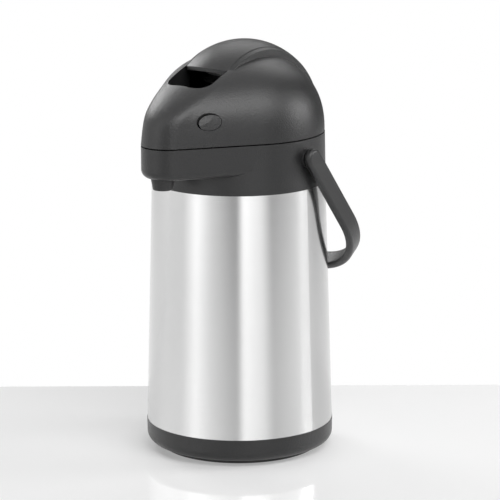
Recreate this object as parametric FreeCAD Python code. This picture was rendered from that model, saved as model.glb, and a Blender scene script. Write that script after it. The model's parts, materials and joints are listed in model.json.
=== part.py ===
import FreeCAD, Part

import math
import os

# Pump pot: a vacuum flask in a tapered steel casing, with a hinged pump lid and a swinging carry handle.
# Millimetres. Origin at the centre of the underside, +Z up, spout toward -Y, handle pivots on X.

# Fits
RUNNING_FIT = 0.05
SOCKET_FIT = 0.1
SLIDING_GAP = 0.3
OVERRUN = 1.0

# Foot and swivel
PAD_RADIUS = 60.0
PAD_THICKNESS = 2.0
PAD_PROUD = 0.6
FOOT_RADIUS = 66.0
FOOT_THICKNESS = 3.2
FOOT_EDGE = 1.0
HUB_RADIUS = 13.0
SWIVEL_GAP = 0.6
GLIDE_RADIUS = 52.0
GLIDE_WIDTH = 7.0
GLIDE_GROOVE = 1.4
WASHER_RADIUS = 19.0
WASHER_THICKNESS = 1.6
SWIVEL_SCREW_RADIUS = 2.2
SWIVEL_SCREW_HEAD = 4.5
SWIVEL_SCREW_HEAD_HEIGHT = 2.6

# Base cup
BASE_HEIGHT = 23.7
BASE_FLOOR = 3.0
BASE_WALL = 3.0
BASE_EDGE = 8.5
BASE_LEDGE = 0.3
SPIGOT_HEIGHT = 9.0
SPIGOT_WALL = 2.2

# Outer shell
SHELL_FOOT_RADIUS = 78.0
SHELL_TOP_RADIUS = 72.3
SHELL_HEIGHT = 203.9
SHELL_WALL = 0.8

# Vacuum flask
CUSHION_HEIGHT = 12.0
CUSHION_WIDTH = 16.0
CUSHION_RADIUS = 48.0
FLASK_GAP = 1.6
FLASK_WALL = 0.8
FLASK_CORNER = 14.0
VACUUM_GAP = 5.0
SHOULDER_DROP = 17.0
SHOULDER_ROUND = 16.0
NECK_HEIGHT = 15.0
NECK_ROUND = 6.0
NECK_VACUUM = 2.4
MOUTH_RADIUS = 33.0
LIP_THICKNESS = 1.0
NECK_GASKET = 1.5

# Collar and its nose
SKIRT_HEIGHT = 15.4
NOSE_DEPTH = 25.7
COLLAR_TOP_RADIUS = 71.5
COLLAR_WALL = 2.6
COLLAR_SKIN = 0.2
DECK_THICKNESS = 3.0
NOSE_REACH = 111.2
NOSE_TIP_RADIUS = 22.6
NOSE_EDGE = 7.0
NOSE_FLOOR_EDGE = 1.0

# Mouth ring, let into the deck
CHIMNEY_HEIGHT = 18.5
CHIMNEY_WALL = 3.2
MOUTH_SEAT = 10.0
MOUTH_LIP = 3.0
MOUTH_LIP_HEIGHT = 1.5

# Spout and riser
NOZZLE_SETBACK = 14.7
NOZZLE_TOP_RADIUS = 9.7
NOZZLE_TIP_RADIUS = 8.0
NOZZLE_DROP = 9.0
NOZZLE_FLANGE = 10.9
NOZZLE_FLANGE_HEIGHT = 1.8
TUBE_BORE = 4.4
TUBE_WALL = 1.5
TUBE_BEND = 7.4
TUBE_RISE = 9.5
RISER_SETBACK = 25.5
RISER_WALL = 0.9
RISER_FOOT_GAP = 6.0
RISER_SOCKET = 3.5
RISER_SEAL = 2.0

# Lid
SEAM_GAP = 1.1
LID_WALL = 2.6
LID_RISE = 65.0
LID_TOP = 74.7
DOME_POWER = 2.3
LID_SECTIONS = 20
LID_FILL = 0.975
ROOF_RADIUS = 190.0
ROOF_APEX_RISE = 67.0
ROOF_APEX_BACK = 14.5
ROOF_BLEND = 4.0
NOSE_LEAN = 0.14
ROOF_TIP_RADIUS = 32.5
ROOF_TIP_START = 14.0
ROOF_TIP_RUN = 34.0
ROOF_TIP_ROOM = 0.12
ROOF_TIP_BLEND = 2.0
ARCH_RADIUS = 82.5
ARCH_CENTRE_BACK = 4.0
ARCH_CROWN = 50.0
RIM_WIDTH = 2.8
SPINE_LEDGE_RISE = 11.0
LID_BASE_THICKNESS = 3.0
LID_PLUG_RADIUS = 40.0
LID_PLUG_DEPTH = 2.6
LID_GASKET_WIDTH = 5.5
LID_SCREW_RADIUS = 1.4
LID_SCREW_HEAD = 3.0
LID_SCREW_SINK = 1.6
LID_SCREW_BITE = 9.0
LID_BOSS_RADIUS = 4.0
LID_BOSS_PLACES = ((50.0, 28.0), (44.0, -38.0))

# Lid hinge
HINGE_KNUCKLE = 5.0
HINGE_LUG_HALF = 9.8
HINGE_EAR_WIDTH = 6.0
HINGE_PIN_RADIUS = 2.0
HINGE_DROP = 5.9
HINGE_STANDOFF = 0.6

# Pump lever
LEVER_HALF_WIDTH = 21.8
LEVER_GAP = 0.4
LEVER_THICKNESS = 3.0
LEVER_SKIRT = 2.0
LEVER_FRONT = 49.0
LEVER_FRONT_BOW = 8.0
LEVER_FRONT_ROUND = 40.0
LEVER_CORNER = 4.0
LEVER_TAIL = 19.0
LEVER_EDGE = 1.2
LEVER_LIP = 2.4
LEVER_LIP_LENGTH = 11.0
LEVER_PIN_INSET = 13.9
LEVER_PIN_RISE = 33.2
LEVER_PIN_RADIUS = 2.0
LEVER_KNUCKLE = 5.5
PUSHER_RADIUS = 5.0
PUSHER_HALF_WIDTH = 7.0
PUSHER_RISE = 61.2

# Thumb well in front of the lever
WELL_FRONT = 72.5
WELL_CORNER = 15.0
WELL_WALL = 2.0
WELL_BACK = 38.0
WELL_DEEP_RISE = 24.5
WELL_RAMP_RISE = 9.0
WELL_SILL = 5.0

# Bellows and plunger
BELLOWS_BACK = 2.0
BELLOWS_RADIUS = 32.0
BELLOWS_FOLD = 7.0
BELLOWS_FOLDS = 6
BELLOWS_WALL = 0.9
BELLOWS_CUFF = 3.0
BELLOWS_ROUND = 1.5
BELLOWS_HEIGHT = 45.0
PLATE_THICKNESS = 2.6
PLATE_OVERLAP = 3.0
PLATE_BOSS_RADIUS = 9.0
SPRING_RADIUS = 13.0
SPRING_WIRE = 0.8
SPRING_TURNS = 7
VALVE_CAP_RADIUS = 9.0
VALVE_CAP_THICKNESS = 1.2
VALVE_STEM_RADIUS = 2.0
VALVE_BULB_RADIUS = 3.2
VALVE_PORT_RADIUS = 1.4
VALVE_PORT_RING = 5.4
VALVE_PORTS = 6

# Latch buttons on the flanks of the nose
BUTTON_RISE = 20.2
BUTTON_ALONG = 0.34
BUTTON_HALF_LENGTH = 10.4
BUTTON_HALF_HEIGHT = 6.8
BUTTON_SINK = 0.5
BUTTON_DEPTH = 8.5
BUTTON_FACET = 24.0
BUTTON_RIDGE = 22.0
BUTTON_RELIEF_BACK = 2.2
BUTTON_RELIEF_DOWN = 1.5
BUTTON_FLANGE = 1.4
BUTTON_FLANGE_DEPTH = 6.0
BUTTON_TRAVEL = 2.5
LATCH_LEG_HALF = 4.0
LATCH_LEG_DEPTH = 6.2
LATCH_LEG_THICKNESS = 2.2
LATCH_LEG_FOOT = 7.0
LATCH_BARB = 1.6
LATCH_BARB_HEIGHT = 2.6
LATCH_KEEPER_HEIGHT = 2.0
LATCH_SPRING_LENGTH = 6.0
LATCH_SPRING_RADIUS = 2.6
LATCH_SPRING_WIRE = 0.3
LATCH_SPRING_TURNS = 4
LATCH_POST_HALF = 5.0
LATCH_POST_THICKNESS = 2.0

# Carry handle
HANDLE_PIVOT_DROP = 14.7
HANDLE_BOSS_RADIUS = 7.6
HANDLE_BOSS_PROUD = 2.0
HANDLE_BOSS_DEPTH = 8.0
HANDLE_THICKNESS = 7.0
HANDLE_WIDTH = 16.5
HANDLE_DROP = 133.0
HANDLE_CORNER = 58.0
HANDLE_EDGE = 2.8
HANDLE_REST_GAP = 0.8
HANDLE_PIN_RADIUS = 3.5
HANDLE_PIN_HEAD = 5.5
HANDLE_PIN_HEAD_DEPTH = 1.5
HANDLE_PIN_BITE = 5.5

# Heights worked out from the driving sizes
FOOT_BOTTOM = PAD_PROUD
FOOT_TOP = FOOT_BOTTOM + FOOT_THICKNESS
BASE_BOTTOM = FOOT_TOP + SWIVEL_GAP
BASE_FLOOR_TOP = BASE_BOTTOM + BASE_FLOOR
SHELL_TOP = BASE_HEIGHT + SHELL_HEIGHT
NOSE_BOTTOM = SHELL_TOP + SKIRT_HEIGHT
DECK_TOP = NOSE_BOTTOM + DECK_THICKNESS
COLLAR_TOP = NOSE_BOTTOM + NOSE_DEPTH
CHIMNEY_TOP = DECK_TOP + CHIMNEY_HEIGHT
LID_BOTTOM = COLLAR_TOP + SEAM_GAP
LID_BASE_TOP = LID_BOTTOM + LID_BASE_THICKNESS
PLUG_BOTTOM = LID_BOTTOM - LID_PLUG_DEPTH
FLASK_FOOT = BASE_FLOOR_TOP + CUSHION_HEIGHT
LIP_TOP = NOSE_BOTTOM - NECK_GASKET
WELD_Z = LIP_TOP - NECK_HEIGHT - SHOULDER_DROP - SHOULDER_ROUND
TUBE_HEIGHT = DECK_TOP + TUBE_RISE
ARCH_CENTRE_Z = LID_BOTTOM + LID_TOP - ARCH_RADIUS
SPINE_LEDGE = LID_BOTTOM + SPINE_LEDGE_RISE
PLATE_BOTTOM = LID_BASE_TOP + BELLOWS_HEIGHT
WELL_DEEP = LID_BOTTOM + WELL_DEEP_RISE
BUTTON_Z = LID_BOTTOM + BUTTON_RISE

# Radii and places worked out from the driving sizes
SHELL_TAPER = (SHELL_FOOT_RADIUS - SHELL_TOP_RADIUS) / SHELL_HEIGHT
BASE_RADIUS = SHELL_FOOT_RADIUS + BASE_LEDGE
TOP_SPIGOT_RADIUS = SHELL_TOP_RADIUS - SHELL_WALL - SLIDING_GAP
FLASK_RADIUS = TOP_SPIGOT_RADIUS - SPIGOT_WALL - FLASK_GAP
NECK_RADIUS = MOUTH_RADIUS + FLASK_WALL + NECK_VACUUM + FLASK_WALL
TUBE_RADIUS = TUBE_BORE + TUBE_WALL
RISER_RADIUS = TUBE_BORE - SOCKET_FIT
NOZZLE_Y = NOZZLE_SETBACK - NOSE_REACH
SLOT_HALF_WIDTH = LEVER_HALF_WIDTH + LEVER_GAP
SPINE_HALF_WIDTH = SLOT_HALF_WIDTH + RIM_WIDTH
HINGE_Y = COLLAR_TOP_RADIUS + COLLAR_SKIN + HINGE_STANDOFF + HINGE_KNUCKLE
HINGE_Z = COLLAR_TOP - HINGE_DROP
HINGE_HALF = HINGE_LUG_HALF + SLIDING_GAP + HINGE_EAR_WIDTH
DECK_HOLE = MOUTH_RADIUS + CHIMNEY_WALL + MOUTH_SEAT
LEVER_PIN_Z = LID_BOTTOM + LEVER_PIN_RISE
LEVER_PIN_BACK = ARCH_CENTRE_BACK + math.sqrt(
    (ARCH_RADIUS - LEVER_PIN_INSET) ** 2 - (LEVER_PIN_Z - ARCH_CENTRE_Z) ** 2
)
PUSHER_Z = LID_BOTTOM + PUSHER_RISE
LEVER_UNDERSIDE = ARCH_RADIUS - LEVER_THICKNESS - ARCH_CROWN + math.sqrt(
    ARCH_CROWN**2 - LEVER_HALF_WIDTH**2
)
HANDLE_PIVOT_Z = COLLAR_TOP - HANDLE_PIVOT_DROP
HANDLE_BOSS_X = max(COLLAR_TOP_RADIUS, SHELL_TOP_RADIUS) + COLLAR_SKIN + HANDLE_BOSS_PROUD
HANDLE_INNER_X = HANDLE_BOSS_X + SLIDING_GAP
HANDLE_OUTER_X = HANDLE_INNER_X + HANDLE_THICKNESS

ORIGIN = FreeCAD.Vector(0, 0, 0)
X_AXIS = FreeCAD.Vector(1, 0, 0)
Y_AXIS = FreeCAD.Vector(0, 1, 0)
Z_AXIS = FreeCAD.Vector(0, 0, 1)
TINY = 1e-6
# How far in from a square corner a rounding arc passes, as a share of the rounding
ARC_CORNER = 0.2


def point(x, y, z):
    """A place in the pot's own frame."""
    return FreeCAD.Vector(x, y, z)


def upright(spot):
    """Puts a flat (radius, height) drawing on the XZ plane."""
    return point(spot.x, 0, spot.y)


def sideways(spot):
    """Puts a flat (back, height) drawing on the YZ plane."""
    return point(0, spot.x, spot.y)


def level(spot):
    """Leaves a flat (across, back) drawing on the XY plane."""
    return spot


def rounded_wire(corners, place):
    """Closed wire through (a, b, rounding) corners, put in space by place."""
    flat = [point(a, b, 0) for a, b, _ in corners]
    arcs = []
    for index, here in enumerate(flat):
        rounding = corners[index][2]
        if not rounding:
            arcs.append((here, None, here))
            continue
        back = (flat[index - 1] - here).normalize()
        ahead = (flat[(index + 1) % len(flat)] - here).normalize()
        half = back.getAngle(ahead) / 2
        reach = rounding / math.tan(half)
        depth = rounding / math.sin(half) - rounding
        middle = here + (back + ahead).normalize() * depth
        arcs.append((here + back * reach, middle, here + ahead * reach))
    edges = []
    for index, (start, middle, stop) in enumerate(arcs):
        if middle:
            edges.append(Part.Arc(place(start), place(middle), place(stop)).toShape())
        following = arcs[(index + 1) % len(arcs)][0]
        if (following - stop).Length > TINY:
            edges.append(Part.makeLine(place(stop), place(following)))
    return Part.Wire(edges)


def turned(corners):
    """Solid of revolution about Z through (radius, height, rounding) corners."""
    return Part.Face(rounded_wire(corners, upright)).revolve(ORIGIN, Z_AXIS, 360)


def ring(inner, outer, bottom, top, rounding=0):
    """Plain ring about Z, or a disc where inner is nought."""
    hole = rounding if inner else 0
    return turned(
        [(inner, bottom, hole), (outer, bottom, rounding), (outer, top, rounding), (inner, top, hole)]
    )


def wall(path, thickness):
    """Turned wall of even thickness on the left of an open (radius, height, rounding) path."""
    spots = [point(a, b, 0) for a, b, _ in path]
    runs = [(after - before).normalize() for before, after in zip(spots, spots[1:])]
    sides = [point(-run.y, run.x, 0) for run in runs]
    offset = []
    for index, (spot, (_, _, rounding)) in enumerate(zip(spots, path)):
        before = sides[max(index - 1, 0)]
        after = sides[min(index, len(sides) - 1)]
        moved = spot + (before + after) * (thickness / (1 + before.dot(after)))
        turn = before.cross(after).z
        offset.append((moved.x, moved.y, rounding and rounding - math.copysign(thickness, turn)))
    return turned(list(path) + offset[::-1])


def rod(radius, start, stop):
    """Round bar from start to stop."""
    return Part.makeCylinder(radius, (stop - start).Length, start, stop - start)


def block(low, high):
    """Box between two corners."""
    size = high - low
    return Part.makeBox(size.x, size.y, size.z, low)


def prism(wire, rise):
    """Wire filled and drawn along rise."""
    return Part.Face(wire).extrude(rise)


def united(first, *others):
    """One solid from several that touch."""
    return first.fuse(list(others)).removeSplitter()


def mirrored(shape):
    """Left hand copy of a right hand shape."""
    return shape.mirror(ORIGIN, X_AXIS)


def both_sides(shape):
    """A shape and its mirror image across the middle plane."""
    return [shape, mirrored(shape)]


def edges_at(shape, height):
    """Edges that lie at one height."""
    return [
        edge
        for edge in shape.Edges
        if abs(edge.BoundBox.ZMin - height) < TINY and abs(edge.BoundBox.ZMax - height) < TINY
    ]


def egg(dome, reach, tip, height):
    """Outline of the head: a round of radius dome drawn out to a nose that ends in radius tip."""
    centre = reach - tip
    lean = math.acos((dome - tip) / centre)

    def nose(angle):
        return point(tip * math.sin(angle), -centre - tip * math.cos(angle), height)

    def round_part(angle):
        return point(dome * math.sin(angle), -dome * math.cos(angle), height)

    behind = (lean + math.pi) / 2
    return Part.Wire(
        [
            Part.Arc(nose(0), nose(lean / 2), nose(lean)).toShape(),
            Part.makeLine(nose(lean), round_part(lean)),
            Part.Arc(round_part(lean), round_part(behind), round_part(math.pi)).toShape(),
            Part.Arc(round_part(math.pi), round_part(-behind), round_part(-lean)).toShape(),
            Part.makeLine(round_part(-lean), nose(-lean)),
            Part.Arc(nose(-lean), nose(-lean / 2), nose(0)).toShape(),
        ]
    )


def head_prism(inset, bottom, top):
    """Straight block with the head's outline at the seam, drawn in by inset."""
    outline = egg(COLLAR_TOP_RADIUS - inset, NOSE_REACH - inset, NOSE_TIP_RADIUS - inset, bottom)
    return prism(outline, Z_AXIS * (top - bottom))


def dome_radius(rise):
    """Radius of the round part of the lid at a height above its rim."""
    share = min(rise / LID_RISE, 1)
    return COLLAR_TOP_RADIUS * (1 - share**DOME_POWER) ** (1 / DOME_POWER)


def soft_least(first, second, blend):
    """Lesser of two sizes, with the change from one to the other rounded over blend."""
    return -blend * math.log(math.exp(-first / blend) + math.exp(-second / blend))


def nose_reach(rise):
    """How far forward the lid comes at a height: the leaning nose wall, then the roof that slopes back."""
    below = ROOF_APEX_RISE - rise
    roof = math.sqrt(below * (2 * ROOF_RADIUS - below)) - ROOF_APEX_BACK
    return soft_least(NOSE_REACH - NOSE_LEAN * rise, roof, ROOF_BLEND)


def tip_radius(rise):
    """Radius of the nose outline, which widens where the roof takes over from the wall."""
    reach = nose_reach(rise)
    share = min(max((rise - ROOF_TIP_START) / ROOF_TIP_RUN, 0), 1)
    eased = share * share * (3 - 2 * share)
    wide = NOSE_TIP_RADIUS + (ROOF_TIP_RADIUS - NOSE_TIP_RADIUS) * eased
    widest = (dome_radius(rise) + reach) / 2 - ROOF_TIP_ROOM * reach
    return soft_least(wide, widest, ROOF_TIP_BLEND)


def lid_form(inset):
    """The lid's rounded form without its spine, drawn in by inset to make the hollow."""
    sections = []
    for step in range(LID_SECTIONS + 1):
        share = LID_FILL * math.sin(math.pi / 2 * step / LID_SECTIONS)
        rise = LID_RISE * share
        height = LID_BOTTOM + rise - inset * share
        if inset and not step:
            height -= OVERRUN
        sections.append(
            egg(dome_radius(rise) - inset, nose_reach(rise) - inset, tip_radius(rise) - inset, height)
        )
    return Part.makeLoft(sections, True, False, False, 3)


def barrel(half_width, inset, soft=0):
    """Crowned round about the arch's axis, along X, its skin lowered by inset and its rims softened."""
    crown = ARCH_RADIUS - inset
    bow = ARCH_CROWN - inset

    def spot(across, out):
        return point(across, ARCH_CENTRE_BACK, ARCH_CENTRE_Z + out)

    def skin(across):
        return crown - bow + math.sqrt(bow**2 - across**2)

    edge = skin(half_width)
    top = spot(half_width - soft, skin(half_width - soft))
    side = spot(half_width, edge - soft)
    far_top = spot(soft - half_width, skin(half_width - soft))
    far_side = spot(-half_width, edge - soft)
    outline = [
        Part.makeLine(spot(-half_width, 0), spot(half_width, 0)),
        Part.makeLine(spot(half_width, 0), side),
        Part.Arc(top, spot(0, crown), far_top).toShape(),
        Part.makeLine(far_side, spot(-half_width, 0)),
    ]
    if soft:
        cut = soft * ARC_CORNER
        outline.append(Part.Arc(side, spot(half_width - cut, edge - cut), top).toShape())
        outline.append(Part.Arc(far_top, spot(cut - half_width, edge - cut), far_side).toShape())
    wire = Part.Wire(Part.__sortEdges__(outline))
    return Part.Face(wire).revolve(spot(0, 0), X_AXIS, 360)


def across(half_width, back, height, radius):
    """Round bar along X, centred on the middle plane."""
    return rod(radius, point(-half_width, back, height), point(half_width, back, height))


def arc_to(start, heading, stop):
    """Arc from start, leaving along heading, to stop."""
    chord = stop - start
    angle = heading.getAngle(chord)
    lift = (heading - chord * (heading.dot(chord) / chord.dot(chord))).normalize()
    middle = (start + stop) * 0.5 + lift * (chord.Length / 2 * math.tan(angle / 2))
    return Part.Arc(start, middle, stop).toShape()


def coil(radius, wire_radius, length, turns):
    """Open coil about Z from height nought, its wire's ends half a wire inside its length."""
    climb = (length - 2 * wire_radius) / turns
    slope = climb / (2 * math.pi)

    def spot(angle):
        return point(
            radius * math.cos(angle), radius * math.sin(angle), wire_radius + slope * angle
        )

    def heading(angle):
        return point(-radius * math.sin(angle), radius * math.cos(angle), slope).normalize()

    edges = []
    quarter = math.pi / 2
    for step in range(4 * turns):
        start, stop = spot(step * quarter), spot((step + 1) * quarter)
        leave, arrive = heading(step * quarter), heading((step + 1) * quarter)
        chord = stop - start
        both = leave + arrive
        square = 2 * (1 - leave.dot(arrive))
        along = chord.dot(both)
        reach = (math.sqrt(along**2 + square * chord.dot(chord)) - along) / square
        middle = (start + leave * reach + stop - arrive * reach) * 0.5
        edges.append(arc_to(start, leave, middle))
        edges.append(arc_to(stop, arrive * -1, middle))
    path = Part.Wire(Part.__sortEdges__(edges))
    end = Part.Wire(Part.makeCircle(wire_radius, spot(0), heading(0)))
    print("least gap between turns", round(climb - 2 * wire_radius, 3))
    return path.makePipeShell([end], True, False)


def anti_slip_pad():
    """Rubber disc that the pot stands on."""
    return ring(0, PAD_RADIUS, 0, PAD_THICKNESS, PAD_PROUD / 2)


def swivel_foot():
    """Round foot that stays put while the pot turns on it, with a hub up through the base."""
    disc = ring(0, FOOT_RADIUS, FOOT_BOTTOM, FOOT_TOP, FOOT_EDGE)
    hub = ring(0, HUB_RADIUS, FOOT_TOP - OVERRUN, BASE_FLOOR_TOP + SOCKET_FIT)
    recess = ring(0, PAD_RADIUS + SOCKET_FIT, -OVERRUN, PAD_THICKNESS)
    screw_hole = ring(0, SWIVEL_SCREW_RADIUS + SOCKET_FIT, PAD_THICKNESS + OVERRUN, BASE_FLOOR_TOP + OVERRUN)
    return united(disc, hub).cut([recess, screw_hole])


def glide_ring():
    """Slippery ring let into the base that runs on the foot."""
    inner = GLIDE_RADIUS - GLIDE_WIDTH
    return ring(inner, GLIDE_RADIUS, FOOT_TOP + RUNNING_FIT, BASE_BOTTOM + GLIDE_GROOVE)


def swivel_washer():
    """Washer on the hub that holds the foot to the base."""
    bottom = BASE_FLOOR_TOP + SOCKET_FIT
    return ring(SWIVEL_SCREW_RADIUS + SOCKET_FIT, WASHER_RADIUS, bottom, bottom + WASHER_THICKNESS)


def swivel_screw():
    """Pan head screw down through the washer into the hub."""
    seat = BASE_FLOOR_TOP + SOCKET_FIT + WASHER_THICKNESS
    head = ring(0, SWIVEL_SCREW_HEAD, seat, seat + SWIVEL_SCREW_HEAD_HEIGHT, SWIVEL_SCREW_HEAD_HEIGHT / 3)
    shank = ring(0, SWIVEL_SCREW_RADIUS, PAD_THICKNESS + OVERRUN + SOCKET_FIT, seat + OVERRUN)
    return united(head, shank)


def base_cup():
    """Moulded cup with a soft lower edge, a ledge for the casing and a spigot inside it."""
    spigot = SHELL_FOOT_RADIUS - SHELL_WALL - SLIDING_GAP - SHELL_TAPER * SPIGOT_HEIGHT
    cup = turned(
        [
            (HUB_RADIUS + RUNNING_FIT, BASE_BOTTOM, 0),
            (BASE_RADIUS - BASE_LEDGE, BASE_BOTTOM, BASE_EDGE),
            (BASE_RADIUS, BASE_HEIGHT, 0),
            (spigot, BASE_HEIGHT, 0),
            (spigot, BASE_HEIGHT + SPIGOT_HEIGHT, SPIGOT_WALL / 3),
            (spigot - SPIGOT_WALL, BASE_HEIGHT + SPIGOT_HEIGHT, SPIGOT_WALL / 3),
            (spigot - SPIGOT_WALL, BASE_FLOOR_TOP, BASE_EDGE - BASE_WALL),
            (HUB_RADIUS + RUNNING_FIT, BASE_FLOOR_TOP, 0),
        ]
    )
    groove = ring(
        GLIDE_RADIUS - GLIDE_WIDTH - SOCKET_FIT,
        GLIDE_RADIUS + SOCKET_FIT,
        BASE_BOTTOM - OVERRUN,
        BASE_BOTTOM + GLIDE_GROOVE,
    )
    return cup.cut(groove)


def flask_cushion():
    """Rubber ring in the base that carries the flask."""
    return ring(CUSHION_RADIUS - CUSHION_WIDTH, CUSHION_RADIUS, BASE_FLOOR_TOP, FLASK_FOOT)


def outer_shell():
    """Brushed casing, a straight taper from the base to the collar."""
    return turned(
        [
            (SHELL_FOOT_RADIUS, BASE_HEIGHT, 0),
            (SHELL_TOP_RADIUS, SHELL_TOP, 0),
            (SHELL_TOP_RADIUS - SHELL_WALL, SHELL_TOP, 0),
            (SHELL_FOOT_RADIUS - SHELL_WALL, BASE_HEIGHT, 0),
        ]
    )


def vessel(radius, foot, neck, top, corner):
    """Path of a flask wall from the middle of its floor up to its mouth."""
    neck_foot = LIP_TOP - NECK_HEIGHT
    return [
        (0, foot, 0),
        (radius, foot, corner),
        (radius, neck_foot - SHOULDER_DROP, SHOULDER_ROUND),
        (neck, neck_foot, NECK_ROUND),
        (neck, top, 0),
    ]


def flask_outer_wall():
    """Outer wall of the vacuum flask."""
    path = vessel(FLASK_RADIUS, FLASK_FOOT, NECK_RADIUS, LIP_TOP - LIP_THICKNESS, FLASK_CORNER)
    return wall(path, FLASK_WALL)


def flask_inner():
    """Whole inner wall of the vacuum flask, with a lip that closes the space between the walls."""
    radius = FLASK_RADIUS - FLASK_WALL - VACUUM_GAP
    neck = MOUTH_RADIUS + FLASK_WALL
    path = vessel(radius, FLASK_FOOT + FLASK_WALL + VACUUM_GAP, neck, LIP_TOP, FLASK_CORNER - VACUUM_GAP)
    lip = ring(MOUTH_RADIUS + FLASK_WALL / 2, NECK_RADIUS, LIP_TOP - LIP_THICKNESS, LIP_TOP)
    return united(wall(path, FLASK_WALL), lip)


def flask_inner_body():
    """Lower drawn half of the flask's inner wall, up to its weld below the shoulder."""
    return flask_inner().common(ring(0, FLASK_RADIUS, FLASK_FOOT, WELD_Z))


def flask_inner_neck():
    """Upper drawn half of the flask's inner wall: shoulder, neck and lip."""
    return flask_inner().common(ring(0, FLASK_RADIUS, WELD_Z, LIP_TOP + OVERRUN))


def neck_gasket():
    """Seal between the flask's lip and the collar."""
    return ring(MOUTH_RADIUS, NECK_RADIUS, LIP_TOP, NOSE_BOTTOM)


def nose_block(inset, bottom, top, edge):
    """Block with the head's outline and a soft lower edge."""
    plain = head_prism(inset, bottom, top)
    return plain.makeFillet(edge, edges_at(plain, bottom))


def latch_frame(shape):
    """Carries a shape drawn at the origin, outward along +Y, to the right latch button."""
    spot, lean = latch_place()
    shape.rotate(ORIGIN, Z_AXIS, math.degrees(lean) - 180)
    shape.translate(spot)
    return shape


def latch_place():
    """Middle of the right latch button on the nose's flank, and the flank's lean from straight ahead."""
    dome = dome_radius(BUTTON_RISE)
    reach = nose_reach(BUTTON_RISE)
    tip = tip_radius(BUTTON_RISE)
    centre = reach - tip
    lean = math.acos((dome - tip) / centre)
    nose = point(tip * math.sin(lean), -centre - tip * math.cos(lean), BUTTON_Z)
    cheek = point(dome * math.sin(lean), -dome * math.cos(lean), BUTTON_Z)
    return nose + (cheek - nose) * BUTTON_ALONG, lean


def collar():
    """Collar over the casing: skirt, overhanging nose, deck, handle bosses, hinge ears, latch keepers."""
    skirt = turned(
        [
            (TOP_SPIGOT_RADIUS - SPIGOT_WALL, SHELL_TOP - SPIGOT_HEIGHT, SPIGOT_WALL / 3),
            (TOP_SPIGOT_RADIUS, SHELL_TOP - SPIGOT_HEIGHT, SPIGOT_WALL / 3),
            (TOP_SPIGOT_RADIUS, SHELL_TOP, 0),
            (SHELL_TOP_RADIUS + COLLAR_SKIN, SHELL_TOP, 0),
            (COLLAR_TOP_RADIUS + COLLAR_SKIN, COLLAR_TOP, 0),
            (COLLAR_TOP_RADIUS - COLLAR_WALL, COLLAR_TOP, 0),
            (COLLAR_TOP_RADIUS - COLLAR_WALL, DECK_TOP, NOSE_FLOOR_EDGE),
            (DECK_HOLE, DECK_TOP, 0),
            (DECK_HOLE, NOSE_BOTTOM, 0),
            (TOP_SPIGOT_RADIUS - SPIGOT_WALL, NOSE_BOTTOM, 0),
        ]
    )
    nose = nose_block(0, NOSE_BOTTOM, COLLAR_TOP, NOSE_EDGE)
    hollow = nose_block(COLLAR_WALL, DECK_TOP, COLLAR_TOP + OVERRUN, NOSE_FLOOR_EDGE)
    deck_hole = ring(0, DECK_HOLE, NOSE_BOTTOM - OVERRUN, COLLAR_TOP + OVERRUN)
    body = skirt.fuse(nose).cut([hollow, deck_hole])
    ears = both_sides(hinge_ear())
    bosses = both_sides(handle_boss())
    keepers = both_sides(latch_keeper())
    nozzle_hole = rod(
        NOZZLE_TOP_RADIUS + SOCKET_FIT,
        point(0, NOZZLE_Y, NOSE_BOTTOM - OVERRUN),
        point(0, NOZZLE_Y, DECK_TOP + OVERRUN),
    )
    pin_hole = across(HINGE_HALF + OVERRUN, HINGE_Y, HINGE_Z, HINGE_PIN_RADIUS + RUNNING_FIT)
    trunnion_hole = across(HANDLE_OUTER_X, 0, HANDLE_PIVOT_Z, HANDLE_PIN_RADIUS + RUNNING_FIT)
    holes = [nozzle_hole, pin_hole, trunnion_hole]
    return body.fuse(ears + bosses + keepers).cut(holes).removeSplitter()


def mouth_ring():
    """Filling mouth let into the deck: a chimney for the lid's seal, with a hole for the pour tube."""
    seat = DECK_HOLE - SOCKET_FIT
    lip_top = DECK_TOP + MOUTH_LIP_HEIGHT
    form = turned(
        [
            (MOUTH_RADIUS, NOSE_BOTTOM, 0),
            (seat, NOSE_BOTTOM, 0),
            (seat, DECK_TOP, 0),
            (DECK_HOLE + MOUTH_LIP, DECK_TOP, 0),
            (DECK_HOLE + MOUTH_LIP, lip_top, MOUTH_LIP_HEIGHT / 3),
            (MOUTH_RADIUS + CHIMNEY_WALL, lip_top, 0),
            (MOUTH_RADIUS + CHIMNEY_WALL, CHIMNEY_TOP, CHIMNEY_WALL / 4),
            (MOUTH_RADIUS, CHIMNEY_TOP, CHIMNEY_WALL / 4),
        ]
    )
    tube_hole = rod(
        TUBE_RADIUS + SOCKET_FIT, point(0, -MOUTH_RADIUS / 2, TUBE_HEIGHT), point(0, NOZZLE_Y, TUBE_HEIGHT)
    )
    return form.cut(tube_hole)


def hinge_ear():
    """Right hinge ear behind the collar, round about the pin and rooted in the wall."""
    inner = HINGE_LUG_HALF + SLIDING_GAP
    outer = inner + HINGE_EAR_WIDTH
    knuckle = rod(HINGE_KNUCKLE, point(inner, HINGE_Y, HINGE_Z), point(outer, HINGE_Y, HINGE_Z))
    root = block(
        point(inner, COLLAR_TOP_RADIUS - COLLAR_WALL, HINGE_Z - HINGE_KNUCKLE),
        point(outer, HINGE_Y, HINGE_Z + HINGE_KNUCKLE),
    )
    return united(knuckle, root)


def handle_boss():
    """Right pivot boss of the carry handle, standing a little proud of the collar."""
    inner = COLLAR_TOP_RADIUS - HANDLE_BOSS_DEPTH
    return rod(HANDLE_BOSS_RADIUS, point(inner, 0, HANDLE_PIVOT_Z), point(HANDLE_BOSS_X, 0, HANDLE_PIVOT_Z))


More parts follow.
